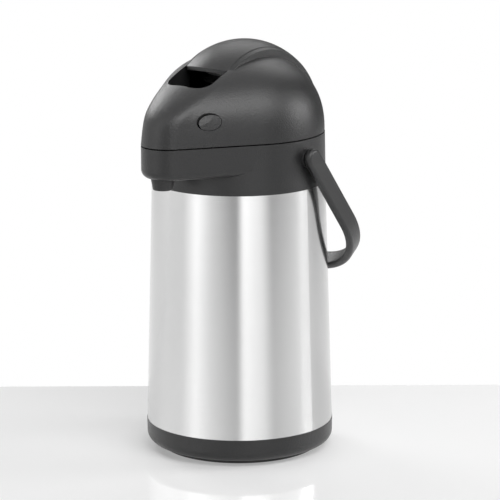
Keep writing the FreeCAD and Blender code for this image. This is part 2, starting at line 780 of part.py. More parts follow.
def latch_keeper():
    """Rib inside the nose beside the right latch's barb."""
    depth = LATCH_LEG_DEPTH - LATCH_BARB - SLIDING_GAP
    bottom = LATCH_LEG_FOOT + LATCH_BARB_HEIGHT
    root = COLLAR_TOP_RADIUS - dome_radius(BUTTON_RISE) - COLLAR_WALL / 2
    rib = block(
        point(-LATCH_LEG_HALF, -depth, COLLAR_TOP - bottom - BUTTON_Z),
        point(LATCH_LEG_HALF, root, COLLAR_TOP - bottom + LATCH_KEEPER_HEIGHT - BUTTON_Z),
    )
    return latch_frame(rib)


def spout_nozzle():
    """Tapered nozzle under the nose, hung by a flange on the nose's floor."""
    tip = NOSE_BOTTOM - NOZZLE_DROP
    socket = TUBE_RADIUS + SOCKET_FIT
    form = turned(
        [
            (TUBE_BORE, tip, 0),
            (NOZZLE_TIP_RADIUS, tip, NOZZLE_TIP_RADIUS / 8),
            (NOZZLE_TOP_RADIUS, NOSE_BOTTOM, 0),
            (NOZZLE_TOP_RADIUS, DECK_TOP, 0),
            (NOZZLE_FLANGE, DECK_TOP, 0),
            (NOZZLE_FLANGE, DECK_TOP + NOZZLE_FLANGE_HEIGHT, 0),
            (socket, DECK_TOP + NOZZLE_FLANGE_HEIGHT, 0),
            (socket, NOSE_BOTTOM, 0),
            (TUBE_BORE, NOSE_BOTTOM, 0),
        ]
    )
    form.translate(point(0, NOZZLE_Y, 0))
    return form


def bent_bar(radius):
    """Round bar along the pour tube's route: up from the riser, forward, and down to the nozzle."""
    riser = -RISER_SETBACK
    low = TUBE_HEIGHT - TUBE_BEND
    rise = math.sqrt(0.5) * TUBE_BEND
    start = point(0, riser, DECK_TOP - RISER_SOCKET)
    first = [point(0, riser, low), point(0, riser - TUBE_BEND + rise, low + rise)]
    first.append(point(0, riser - TUBE_BEND, TUBE_HEIGHT))
    last = [point(0, NOZZLE_Y + TUBE_BEND, TUBE_HEIGHT)]
    last.append(point(0, NOZZLE_Y + TUBE_BEND - rise, low + rise))
    last.append(point(0, NOZZLE_Y, low))
    stop = point(0, NOZZLE_Y, NOSE_BOTTOM)
    path = Part.Wire(
        [
            Part.makeLine(start, first[0]),
            Part.Arc(*first).toShape(),
            Part.makeLine(first[2], last[0]),
            Part.Arc(*last).toShape(),
            Part.makeLine(last[2], stop),
        ]
    )
    end = Part.Wire(Part.makeCircle(radius, start, Z_AXIS))
    return path.makePipeShell([end], True, False)


def pour_tube():
    """Bent tube from the riser through the chimney to the nozzle."""
    return bent_bar(TUBE_RADIUS).cut(bent_bar(TUBE_BORE))


def riser_tube():
    """Straight tube from near the flask's floor up into the pour tube."""
    foot = FLASK_FOOT + 2 * FLASK_WALL + VACUUM_GAP + RISER_FOOT_GAP
    tube = ring(RISER_RADIUS - RISER_WALL, RISER_RADIUS, foot, DECK_TOP)
    tube.translate(point(0, -RISER_SETBACK, 0))
    return tube


def riser_seal():
    """Rubber ring on the riser under the end of the pour tube."""
    top = DECK_TOP - RISER_SOCKET
    seal = ring(RISER_RADIUS, TUBE_RADIUS, top - RISER_SEAL, top)
    seal.translate(point(0, -RISER_SETBACK, 0))
    return seal


def well_plan(margin, back, bottom, top):
    """Block over the thumb well's plan, grown by margin, from its round front back to a given place."""
    half = SLOT_HALF_WIDTH + margin
    front = -WELL_FRONT - margin
    corner = WELL_CORNER + margin
    outline = rounded_wire(
        [(-half, front, corner), (half, front, corner), (half, back, 0), (-half, back, 0)], level
    )
    solid = prism(outline, Z_AXIS * (top - bottom))
    solid.translate(Z_AXIS * bottom)
    return solid


def above_ramp(drop):
    """Space over the thumb well's floor, which ramps up toward the front, lowered by drop."""
    deep = WELL_DEEP - drop
    high = deep + WELL_RAMP_RISE
    top = LID_BOTTOM + LID_TOP
    side = rounded_wire(
        [(0, deep, 0), (0, top, 0), (-NOSE_REACH, top, 0), (-WELL_FRONT, high, 0), (-LEVER_FRONT, deep, 0)],
        sideways,
    )
    space = prism(side, X_AXIS * (2 * SPINE_HALF_WIDTH))
    space.translate(X_AXIS * -SPINE_HALF_WIDTH)
    return space


def over(height):
    """Everything above a height."""
    reach = 2 * NOSE_REACH
    return block(point(-reach, -reach, height), point(reach, reach, height + reach))


def lever_slot():
    """Space that the pump lever moves in, from the well back to its round tail."""
    top = LID_BOTTOM + LID_TOP + OVERRUN
    body = block(
        point(-SLOT_HALF_WIDTH, -WELL_BACK, WELL_DEEP + WELL_SILL),
        point(SLOT_HALF_WIDTH, LEVER_PIN_BACK + LEVER_TAIL / 2, top),
    )
    tail = across(SLOT_HALF_WIDTH, LEVER_PIN_BACK, LEVER_PIN_Z, LEVER_TAIL + LEVER_GAP)
    return body.fuse(tail)


def hinge_lug():
    """Lug under the spine that turns on the lid's hinge pin between the collar's ears."""
    front = HINGE_Y - HINGE_KNUCKLE
    back = HINGE_Y + HINGE_KNUCKLE
    root = COLLAR_TOP_RADIUS - LID_WALL / 2
    side = rounded_wire(
        [
            (front, HINGE_Z, 0),
            (back, HINGE_Z, 0),
            (back, SPINE_LEDGE + OVERRUN, 0),
            (root, SPINE_LEDGE + OVERRUN, 0),
            (root, LID_BOTTOM, 0),
            (front, LID_BOTTOM, 0),
        ],
        sideways,
    )
    web = prism(side, X_AXIS * (2 * HINGE_LUG_HALF))
    web.translate(X_AXIS * -HINGE_LUG_HALF)
    return united(web, across(HINGE_LUG_HALF, HINGE_Y, HINGE_Z, HINGE_KNUCKLE))


def oval(grow, start, stop):
    """Oval block of a latch button, grown by grow, along its outward axis from start to stop."""
    ellipse = Part.Ellipse(ORIGIN, BUTTON_HALF_LENGTH + grow, BUTTON_HALF_HEIGHT + grow).toShape()
    face = Part.Face(Part.Wire(ellipse))
    face.rotate(ORIGIN, X_AXIS, 90)
    face.translate(Y_AXIS * start)
    return face.extrude(Y_AXIS * (stop - start))


def lid_shell():
    """Moulded lid: rounded form, spine round the lever, thumb well, hinge lug, button holes, bosses."""
    form = lid_form(0)
    spine = barrel(SPINE_HALF_WIDTH, 0).common(over(SPINE_LEDGE))
    outside = form.fuse(spine)
    spine_hollow = barrel(SLOT_HALF_WIDTH, LID_WALL).common(over(SPINE_LEDGE + LID_WALL))
    skin = outside.cut([lid_form(LID_WALL), spine_hollow])
    tub = well_plan(WELL_WALL, WELL_WALL - WELL_BACK, LID_BOTTOM, LID_BOTTOM + LID_TOP)
    tub = tub.common(above_ramp(WELL_WALL)).common(form)
    cheek = both_sides(
        rod(
            LEVER_KNUCKLE,
            point(SLOT_HALF_WIDTH, LEVER_PIN_BACK, LEVER_PIN_Z),
            point(SPINE_HALF_WIDTH, LEVER_PIN_BACK, LEVER_PIN_Z),
        )
    )
    bosses = []
    for across_place, back_place in LID_BOSS_PLACES:
        boss = rod(
            LID_BOSS_RADIUS,
            point(across_place, back_place, LID_BASE_TOP),
            point(across_place, back_place, LID_BOTTOM + LID_RISE),
        )
        bosses += both_sides(boss.common(form))
    solid = skin.fuse([tub] + cheek + bosses)
    well = well_plan(0, -WELL_BACK, LID_BOTTOM, LID_BOTTOM + LID_TOP).common(above_ramp(0))
    cuts = [well, lever_slot()]
    cuts += both_sides(latch_frame(oval(SLIDING_GAP, -BUTTON_DEPTH, BUTTON_DEPTH)))
    pin_half = SPINE_HALF_WIDTH - RIM_WIDTH / 3 + SOCKET_FIT
    cuts.append(across(pin_half, LEVER_PIN_BACK, LEVER_PIN_Z, LEVER_PIN_RADIUS + SOCKET_FIT))
    for across_place, back_place in LID_BOSS_PLACES:
        hole = rod(
            LID_SCREW_RADIUS + SOCKET_FIT,
            point(across_place, back_place, LID_BOTTOM),
            point(across_place, back_place, LID_BASE_TOP + LID_SCREW_BITE),
        )
        cuts += both_sides(hole)
    solid = solid.cut(cuts).fuse(hinge_lug())
    pin_hole = across(HINGE_HALF, HINGE_Y, HINGE_Z, HINGE_PIN_RADIUS + RUNNING_FIT)
    return solid.cut(pin_hole).removeSplitter()


def lid_base():
    """Inner plate of the lid, with the sealing plug below it and the latch springs' posts above."""
    room = SLIDING_GAP + NOSE_LEAN * LID_BASE_THICKNESS
    plate = head_prism(LID_WALL + room, LID_BOTTOM, LID_BASE_TOP)
    plug = ring(0, LID_PLUG_RADIUS, PLUG_BOTTOM, LID_BOTTOM + OVERRUN)
    collar_ring = ring(
        BELLOWS_RADIUS - BELLOWS_FOLD - BELLOWS_WALL - SOCKET_FIT - BELLOWS_CUFF,
        BELLOWS_RADIUS - BELLOWS_FOLD - BELLOWS_WALL - SOCKET_FIT,
        LID_BASE_TOP - OVERRUN,
        LID_BASE_TOP + BELLOWS_CUFF,
    )
    collar_ring.translate(Y_AXIS * BELLOWS_BACK)
    far = BUTTON_DEPTH + LATCH_SPRING_LENGTH
    post = block(
        point(-LATCH_POST_HALF, -far - LATCH_POST_THICKNESS, LID_BASE_TOP - OVERRUN - BUTTON_Z),
        point(LATCH_POST_HALF, -far, LATCH_POST_HALF),
    )
    posts = both_sides(latch_frame(post))
    slot = block(
        point(
            -LATCH_LEG_HALF - SLIDING_GAP,
            -LATCH_LEG_DEPTH - LATCH_LEG_THICKNESS - BUTTON_TRAVEL - SLIDING_GAP,
            LID_BOTTOM - OVERRUN - BUTTON_Z,
        ),
        point(
            LATCH_LEG_HALF + SLIDING_GAP, SLIDING_GAP - LATCH_LEG_DEPTH, LID_BASE_TOP + OVERRUN - BUTTON_Z
        ),
    )
    cuts = both_sides(latch_frame(slot))
    for across_place, back_place in LID_BOSS_PLACES:
        low = point(across_place, back_place, LID_BOTTOM - OVERRUN)
        shank = rod(LID_SCREW_RADIUS + SOCKET_FIT, low, low + Z_AXIS * (LID_BASE_THICKNESS + 2 * OVERRUN))
        sink = rod(LID_SCREW_HEAD + SOCKET_FIT, low, low + Z_AXIS * (LID_SCREW_SINK + OVERRUN))
        cuts += both_sides(shank) + both_sides(sink)
    cuts.append(ring(0, VALVE_STEM_RADIUS + SOCKET_FIT, PLUG_BOTTOM - OVERRUN, LID_BASE_TOP + OVERRUN))
    for port in range(VALVE_PORTS):
        turn = 2 * math.pi * port / VALVE_PORTS
        spot = point(VALVE_PORT_RING * math.cos(turn), VALVE_PORT_RING * math.sin(turn), 0)
        cuts.append(
            rod(
                VALVE_PORT_RADIUS,
                spot + Z_AXIS * (PLUG_BOTTOM - OVERRUN),
                spot + Z_AXIS * (LID_BASE_TOP + OVERRUN),
            )
        )
    return plate.fuse([plug, collar_ring] + posts).cut(cuts).removeSplitter()


def lid_gasket():
    """Sealing ring under the plug that presses on the chimney's rim."""
    bottom = CHIMNEY_TOP + SLIDING_GAP
    middle = MOUTH_RADIUS + CHIMNEY_WALL / 2
    half = LID_GASKET_WIDTH / 2
    return ring(middle - half, middle + half, bottom, PLUG_BOTTOM)


def lid_screws():
    """Four countersunk screws that hold the inner plate to the lid."""
    screws = []
    for across_place, back_place in LID_BOSS_PLACES:
        low = point(across_place, back_place, LID_BOTTOM)
        head = rod(LID_SCREW_HEAD, low, low + Z_AXIS * LID_SCREW_SINK)
        shank = rod(LID_SCREW_RADIUS, low, low + Z_AXIS * (LID_BASE_THICKNESS + LID_SCREW_BITE - OVERRUN))
        screws += both_sides(united(head, shank))
    return Part.makeCompound(screws)


def air_valve():
    """Umbrella valve that lets air down through the plug and not back."""
    top = LID_BASE_TOP
    cap_top = PLUG_BOTTOM
    return turned(
        [
            (0, cap_top - VALVE_CAP_THICKNESS, 0),
            (VALVE_CAP_RADIUS, cap_top - VALVE_CAP_THICKNESS, VALVE_CAP_THICKNESS / 3),
            (VALVE_CAP_RADIUS, cap_top, 0),
            (VALVE_STEM_RADIUS, cap_top, 0),
            (VALVE_STEM_RADIUS, top, 0),
            (VALVE_BULB_RADIUS, top, 0),
            (VALVE_STEM_RADIUS, top + VALVE_BULB_RADIUS, 0),
            (0, top + VALVE_BULB_RADIUS, 0),
        ]
    )


def bellows():
    """Folded rubber pump between the inner plate and the plunger plate."""
    inner = BELLOWS_RADIUS - BELLOWS_FOLD
    bottom = LID_BASE_TOP + BELLOWS_CUFF
    pitch = (BELLOWS_HEIGHT - 2 * BELLOWS_CUFF) / BELLOWS_FOLDS
    path = [(inner, LID_BASE_TOP, 0), (inner, bottom, BELLOWS_ROUND)]
    for fold in range(BELLOWS_FOLDS):
        path.append((BELLOWS_RADIUS, bottom + pitch * (fold + 0.5), BELLOWS_ROUND))
        path.append((inner, bottom + pitch * (fold + 1), BELLOWS_ROUND))
    path.append((inner, PLATE_BOTTOM, 0))
    folded = wall(path, BELLOWS_WALL)
    folded.translate(Y_AXIS * BELLOWS_BACK)
    return folded


def bellows_plate():
    """Plunger plate on the bellows, with the boss that the lever pushes."""
    radius = BELLOWS_RADIUS - BELLOWS_FOLD + PLATE_OVERLAP
    top = PLATE_BOTTOM + PLATE_THICKNESS
    plate = turned(
        [
            (0, PLATE_BOTTOM, 0),
            (radius, PLATE_BOTTOM, 0),
            (radius, top, PLATE_THICKNESS / 3),
            (PLATE_BOSS_RADIUS, top, 0),
            (PLATE_BOSS_RADIUS, PUSHER_Z - PUSHER_RADIUS - SLIDING_GAP, 0),
            (0, PUSHER_Z - PUSHER_RADIUS - SLIDING_GAP, 0),
        ]
    )
    plate.translate(Y_AXIS * BELLOWS_BACK)
    return plate


def return_spring():
    """Coil inside the bellows that lifts the plate and the lever."""
    spring = coil(SPRING_RADIUS, SPRING_WIRE, BELLOWS_HEIGHT - 2 * SOCKET_FIT, SPRING_TURNS)
    spring.translate(point(0, BELLOWS_BACK, LID_BASE_TOP + SOCKET_FIT))
    return spring


def lever_region(margin):
    """Space in plan and at the tail that the lever fills, drawn in by margin."""
    half = LEVER_HALF_WIDTH - margin
    front = margin - LEVER_FRONT
    outline = rounded_wire(
        [
            (-half, front + LEVER_FRONT_BOW, LEVER_CORNER),
            (0, front, LEVER_FRONT_ROUND),
            (half, front + LEVER_FRONT_BOW, LEVER_CORNER),
            (half, LEVER_PIN_BACK + LEVER_TAIL / 3, 0),
            (-half, LEVER_PIN_BACK + LEVER_TAIL / 3, 0),
        ],
        level,
    )
    body = prism(outline, Z_AXIS * (LID_TOP + OVERRUN))
    body.translate(Z_AXIS * LID_BOTTOM)
    tail = across(half, LEVER_PIN_BACK, LEVER_PIN_Z, LEVER_TAIL - margin)
    return body.fuse(tail)


def pump_lever():
    """Crowned lever over the bellows: a thin arched skin with a pivot knuckle and a pusher below."""
    arch = barrel(LEVER_HALF_WIDTH, 0, LEVER_EDGE).common(lever_region(0))
    core = across(SPINE_HALF_WIDTH, ARCH_CENTRE_BACK, ARCH_CENTRE_Z, LEVER_UNDERSIDE)
    skin = arch.cut(core)
    pocket = barrel(LEVER_HALF_WIDTH - LEVER_SKIRT, LEVER_THICKNESS).common(lever_region(LEVER_SKIRT))
    under = barrel(LEVER_HALF_WIDTH - LEVER_SKIRT, LEVER_THICKNESS / 2)
    knuckle = across(LEVER_HALF_WIDTH - LEVER_SKIRT, LEVER_PIN_BACK, LEVER_PIN_Z, LEVER_KNUCKLE)
    out = point(0, LEVER_PIN_BACK - ARCH_CENTRE_BACK, LEVER_PIN_Z - ARCH_CENTRE_Z).normalize()
    web = block(
        point(-PUSHER_HALF_WIDTH, -LEVER_KNUCKLE, 0),
        point(PUSHER_HALF_WIDTH, LEVER_KNUCKLE, ARCH_RADIUS),
    )
    web.rotate(ORIGIN, X_AXIS, -math.degrees(Z_AXIS.getAngle(out)))
    web.translate(point(0, LEVER_PIN_BACK, LEVER_PIN_Z))
    nose = across(PUSHER_HALF_WIDTH, BELLOWS_BACK, PUSHER_Z, PUSHER_RADIUS)
    stem = block(
        point(-PUSHER_HALF_WIDTH, BELLOWS_BACK - PUSHER_RADIUS, PUSHER_Z),
        point(PUSHER_HALF_WIDTH, BELLOWS_BACK + PUSHER_RADIUS, LID_BOTTOM + LID_TOP),
    )
    inner_pieces = [web.common(under), stem.common(under), knuckle, nose]
    lever = skin.cut(pocket).fuse(inner_pieces)
    pin_hole = across(SPINE_HALF_WIDTH, LEVER_PIN_BACK, LEVER_PIN_Z, LEVER_PIN_RADIUS + RUNNING_FIT)
    front = block(
        point(-SPINE_HALF_WIDTH, -WELL_FRONT, LID_BOTTOM),
        point(SPINE_HALF_WIDTH, LEVER_LIP_LENGTH - LEVER_FRONT, LID_BOTTOM + LID_TOP),
    )
    under_lip = barrel(SPINE_HALF_WIDTH, LEVER_LIP).common(front)
    return lever.cut([pin_hole, under_lip]).removeSplitter()


def lever_pin():
    """Steel pin that the lever turns on, held in the lid's cheeks."""
    half = SPINE_HALF_WIDTH - RIM_WIDTH / 3
    return across(half, LEVER_PIN_BACK, LEVER_PIN_Z, LEVER_PIN_RADIUS)


def lid_hinge_pin():
    """Steel pin through the collar's ears and the lid's lug."""
    return across(HINGE_HALF, HINGE_Y, HINGE_Z, HINGE_PIN_RADIUS)


def latch_button():
    """Right latch button: slanted pebble low in its hole, flange behind the wall, leg with a barb."""
    pebble = oval(0, -BUTTON_FLANGE_DEPTH, BUTTON_DEPTH)
    pebble.translate(point(-BUTTON_RELIEF_BACK, 0, -BUTTON_RELIEF_DOWN))
    back_part = oval(0, -BUTTON_DEPTH, -BUTTON_FLANGE_DEPTH)
    body = united(pebble.common(oval(0, -BUTTON_FLANGE_DEPTH, BUTTON_DEPTH)), back_part)
    reach = BUTTON_HALF_LENGTH + BUTTON_DEPTH
    slant = block(point(-reach, 0, 0), point(reach, reach, reach))
    slant.rotate(ORIGIN, X_AXIS, BUTTON_FACET)
    slant.rotate(ORIGIN, Y_AXIS, BUTTON_RIDGE)
    slant.translate(Y_AXIS * -BUTTON_SINK)
    flange = oval(BUTTON_FLANGE, -BUTTON_FLANGE_DEPTH - BUTTON_FLANGE, -BUTTON_FLANGE_DEPTH)
    foot = COLLAR_TOP - LATCH_LEG_FOOT - BUTTON_Z - LATCH_BARB_HEIGHT
    back = -LATCH_LEG_DEPTH - LATCH_LEG_THICKNESS
    leg = block(point(-LATCH_LEG_HALF, back, foot), point(LATCH_LEG_HALF, -LATCH_LEG_DEPTH, 0))
    barb = block(
        point(-LATCH_LEG_HALF, back, foot),
        point(LATCH_LEG_HALF, LATCH_BARB - LATCH_LEG_DEPTH, foot + LATCH_BARB_HEIGHT),
    )
    face = latch_frame(body.cut(slant)).common(lid_form(BUTTON_SINK))
    return united(face, latch_frame(flange), latch_frame(leg), latch_frame(barb))


def latch_spring():
    """Small coil between the right latch button and its post."""
    spring = coil(LATCH_SPRING_RADIUS, LATCH_SPRING_WIRE, LATCH_SPRING_LENGTH, LATCH_SPRING_TURNS)
    spring.rotate(ORIGIN, X_AXIS, 90)
    spring.translate(Y_AXIS * -BUTTON_DEPTH)
    return latch_frame(spring)


def handle_tilt():
    """Angle of the hanging handle from straight down, where its bar lies close to the casing."""
    half = HANDLE_WIDTH / 2
    swing = math.hypot(HANDLE_DROP, half)
    bar_z = HANDLE_PIVOT_Z - HANDLE_DROP * math.cos(math.asin(SHELL_TOP_RADIUS / swing))
    casing = SHELL_TOP_RADIUS + SHELL_TAPER * (SHELL_TOP - bar_z)
    return math.asin((casing + HANDLE_REST_GAP) / swing) + math.atan2(half, HANDLE_DROP)


def carry_handle():
    """Swinging bail: two arms and a cross bar in one soft edged strap."""
    outer_drop = -HANDLE_DROP - HANDLE_THICKNESS
    outer_corner = HANDLE_CORNER + HANDLE_THICKNESS
    half = HANDLE_WIDTH / 2

    def front(spot):
        return point(spot.x, -half, spot.y)

    outline = rounded_wire(
        [
            (-HANDLE_OUTER_X, 0, 0),
            (-HANDLE_OUTER_X, outer_drop, outer_corner),
            (HANDLE_OUTER_X, outer_drop, outer_corner),
            (HANDLE_OUTER_X, 0, 0),
            (HANDLE_INNER_X, 0, 0),
            (HANDLE_INNER_X, -HANDLE_DROP, HANDLE_CORNER),
            (-HANDLE_INNER_X, -HANDLE_DROP, HANDLE_CORNER),
            (-HANDLE_INNER_X, 0, 0),
        ],
        front,
    )
    strap = prism(outline, Y_AXIS * HANDLE_WIDTH)
    ends = both_sides(rod(half, point(HANDLE_INNER_X, 0, 0), point(HANDLE_OUTER_X, 0, 0)))
    bail = united(strap, *ends)
    soft = [edge for edge in bail.Edges if not is_along(edge, X_AXIS) and not is_along(edge, Y_AXIS)]
    bail = bail.makeFillet(HANDLE_EDGE, soft)
    bail = bail.cut(across(HANDLE_INNER_X + HANDLE_PIN_BITE + SOCKET_FIT, 0, 0, HANDLE_PIN_RADIUS))
    bail.rotate(ORIGIN, X_AXIS, math.degrees(handle_tilt()))
    bail.translate(Z_AXIS * HANDLE_PIVOT_Z)
    return bail


def is_along(edge, axis):
    """Whether an edge is a straight line along an axis and no part of the strap's outline."""
    run = edge.Vertexes[-1].Point - edge.Vertexes[0].Point
    straight = edge.Curve.TypeId == "Part::GeomLine"
    return straight and run.cross(axis).Length < TINY and run.Length < HANDLE_WIDTH + TINY


def handle_pivot_pins():
    """Two headed pins from inside the collar, fast in the handle's arms."""
    inner = COLLAR_TOP_RADIUS - HANDLE_BOSS_DEPTH - SLIDING_GAP
    outer = HANDLE_INNER_X + HANDLE_PIN_BITE
    shank = rod(HANDLE_PIN_RADIUS, point(inner, 0, HANDLE_PIVOT_Z), point(outer, 0, HANDLE_PIVOT_Z))
    head = rod(
        HANDLE_PIN_HEAD,
        point(inner - HANDLE_PIN_HEAD_DEPTH, 0, HANDLE_PIVOT_Z),
        point(inner, 0, HANDLE_PIVOT_Z),
    )
    return Part.makeCompound(both_sides(united(shank, head)))


SINGLE_PIECES = (
    anti_slip_pad,
    swivel_foot,
    glide_ring,
    swivel_washer,
    swivel_screw,
    base_cup,
    flask_cushion,
    outer_shell,
    flask_outer_wall,
    flask_inner_body,
    flask_inner_neck,
    neck_gasket,
    collar,
    mouth_ring,
    spout_nozzle,
    pour_tube,
    riser_tube,
    riser_seal,
    lid_shell,
    lid_base,
    lid_gasket,
    lid_screws,
    air_valve,
    bellows,
    bellows_plate,
    return_spring,
    pump_lever,
    lever_pin,
    lid_hinge_pin,
    carry_handle,
    handle_pivot_pins,
)
PAIRED_PIECES = (latch_button, latch_spring)


def save(name, shape):
    """Writes one piece and prints its solids, volume and soundness."""
    shape.exportStep(os.path.join("parts", name + ".step"))
    print(name, len(shape.Solids), round(shape.Volume), shape.isValid())


def main():
    """Builds and writes every piece."""
    os.makedirs("parts", exist_ok=True)
    for make in SINGLE_PIECES:
        save(make.__name__, make())
    for make in PAIRED_PIECES:
        piece = make()
        save(make.__name__ + "_right", piece)
        save(make.__name__ + "_left", mirrored(piece))


if __name__ == "__main__":
    main()
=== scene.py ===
"""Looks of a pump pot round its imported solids: finishes, soft inner pieces, stage, light and camera."""

import json
import logging
import math
from dataclasses import dataclass, field
from enum import Enum
from typing import Dict, List, Optional, Sequence, Tuple, Union

import bmesh
import bpy
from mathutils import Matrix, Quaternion, Vector


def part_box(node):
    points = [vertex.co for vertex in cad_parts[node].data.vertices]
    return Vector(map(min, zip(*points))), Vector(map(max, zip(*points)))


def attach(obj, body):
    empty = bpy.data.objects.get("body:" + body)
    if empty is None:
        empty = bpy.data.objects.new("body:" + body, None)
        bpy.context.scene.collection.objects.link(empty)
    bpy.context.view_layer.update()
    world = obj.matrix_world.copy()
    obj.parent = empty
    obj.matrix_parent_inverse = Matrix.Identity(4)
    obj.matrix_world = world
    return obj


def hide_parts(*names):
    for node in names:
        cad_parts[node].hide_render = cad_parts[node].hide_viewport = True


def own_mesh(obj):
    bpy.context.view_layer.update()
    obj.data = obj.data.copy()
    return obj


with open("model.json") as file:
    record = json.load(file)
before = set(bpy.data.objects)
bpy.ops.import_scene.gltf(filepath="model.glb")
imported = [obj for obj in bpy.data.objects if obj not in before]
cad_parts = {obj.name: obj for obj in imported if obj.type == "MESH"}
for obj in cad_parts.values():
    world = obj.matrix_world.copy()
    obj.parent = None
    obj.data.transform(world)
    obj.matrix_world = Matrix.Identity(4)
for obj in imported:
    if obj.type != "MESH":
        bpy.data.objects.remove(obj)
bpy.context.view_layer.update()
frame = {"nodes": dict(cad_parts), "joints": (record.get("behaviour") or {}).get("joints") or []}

MM = 0.001
SHARP_ANGLE = 32.0
LOG = logging.getLogger("pump_pot")

Colour = Tuple[float, float, float]
Socket = bpy.types.NodeSocket
SocketValue = Union[float, Sequence[float], Socket]


class Joint(Enum):
    """Joints of the pot that the springs belong to."""

    LEVER = "lever_press"
    LATCH_RIGHT = "latch_right_press"
    LATCH_LEFT = "latch_left_press"


class Slot(Enum):
    """The record's material slots."""

    DARK_PLASTIC = "dark_plastic"
    BUTTON_PLASTIC = "button_plastic"
    INNER_PLASTIC = "inner_plastic"
    CASING_STEEL = "casing_steel"
    FLASK_STEEL = "flask_steel"
    HARDWARE_STEEL = "hardware_steel"
    BLACK_RUBBER = "black_rubber"
    PALE_SEAL = "pale_seal"


class Brushing(Enum):
    """Which way the lines of a brushed steel run."""

    ROUND = "round"
    UPRIGHT = "upright"


class NodeSheet:
    """A material's node tree, filled one node at a time."""

    def __init__(self, name: str) -> None:
        """Starts an empty material.

        Args:
            name: the material's name.
        """
        self.material = bpy.data.materials.new(name)
        self.material.use_nodes = True
        self.tree = self.material.node_tree
        self.tree.nodes.clear()

    def add(
        self,
        kind: str,
        inputs: Optional[Dict[Union[str, int], SocketValue]] = None,
        **settings: Union[str, bool],
    ) -> bpy.types.Node:
        """Adds one node, sets its options, and sets or links its inputs.

        Args:
            kind: the node's type without its common prefix.
            inputs: values or output sockets by input name or place.
            settings: options of the node.

        Returns:
            The new node.
        """
        node = self.tree.nodes.new("ShaderNode" + kind)
        for option, value in settings.items():
            setattr(node, option, value)
        for key, value in (inputs or {}).items():
            if isinstance(value, Socket):
                self.tree.links.new(value, node.inputs[key])
            else:
                node.inputs[key].default_value = value
        return node

    def math(self, operation: str, *values: SocketValue) -> Socket:
        """One sum on numbers.

        Args:
            operation: the sum's name.
            values: numbers or sockets.

        Returns:
            The result's socket.
        """
        return self.add("Math", dict(enumerate(values)), operation=operation).outputs[0]

    def along(self, vector: Socket, direction: Vector) -> Socket:
        """How far a vector reaches along a direction.

        Args:
            vector: the vector.
            direction: a unit vector.

        Returns:
            The distance's socket.
        """
        made = self.add("VectorMath", {0: vector, 1: tuple(direction)}, operation="DOT_PRODUCT")
        return made.outputs["Value"]

    def noise(self, vector: Socket, scale: float, detail: float = 3.0) -> Socket:
        """Soft noise from 0 to 1 over a vector.

        Args:
            vector: where to read it.
            scale: lumps per metre.
            detail: finer layers.

        Returns:
            The noise's socket.
        """
        made = self.add("TexNoise", {"Vector": vector, "Scale": scale, "Detail": detail})
        return made.outputs["Fac"]

    def spread(self, value: Socket, low: float, high: float) -> Socket:
        """Maps a 0 to 1 value onto a range.

        Args:
            value: the value.
            low: result at 0.
            high: result at 1.

        Returns:
            The mapped socket.
        """
        made = self.add("MapRange", {"Value": value, "To Min": low, "To Max": high})
        return made.outputs["Result"]

    def weighed(self, first: Socket, second: Socket, share: float) -> Socket:
        """Adds two values by weight.

        Args:
            first: one value.
            second: the other.
            share: the second one's weight; the first has the rest.

        Returns:
            The sum's socket.
        """
        most = self.math("MULTIPLY", first, 1 - share)
        return self.math("ADD", most, self.math("MULTIPLY", second, share))

    def tint(self, share: Socket, first: Colour, second: Colour) -> Socket:
        """Mixes two colours by a share.

        Args:
            share: 0 for the first, 1 for the second.
            first: one colour.
            second: the other.

        Returns:
            The colour's socket.
        """
        made = self.add("Mix", {0: share, 6: (*first, 1.0), 7: (*second, 1.0)}, data_type="RGBA")
        return made.outputs[2]

    def bump(self, height: Socket, depth: float, strength: float) -> Socket:
        """Raises the surface by a height.

        Args:
            height: 0 to 1 heights.
            depth: metres at height 1.
            strength: how much of it shows.

        Returns:
            The normal's socket.
        """
        made = self.add("Bump", {"Height": height, "Distance": depth, "Strength": strength})
        return made.outputs["Normal"]

    def surface(self, inputs: Dict[Union[str, int], SocketValue]) -> bpy.types.Material:
        """Ends the tree in a surface shader.

        Args:
            inputs: the shader's values or sockets.

        Returns:
            The finished material.
        """
        shader = self.add("BsdfPrincipled", inputs)
        self.add("OutputMaterial", {"Surface": shader.outputs[0]})
        return self.material


def scaled(colour: Colour, share: float) -> Colour:
    """A colour made lighter or darker by a share."""
    return tuple(min(channel * share, 1.0) for channel in colour)


@dataclass(frozen=True)
class Finish:
    """A finish: the record's slot that it belongs to, and how its material is made."""

    slot: Slot

    def name(self) -> str:
        """The material's name."""
        return self.slot.value + "_finish"

    def make(self) -> bpy.types.Material:
        """Makes the material; each kind of finish does it its own way."""
        raise NotImplementedError


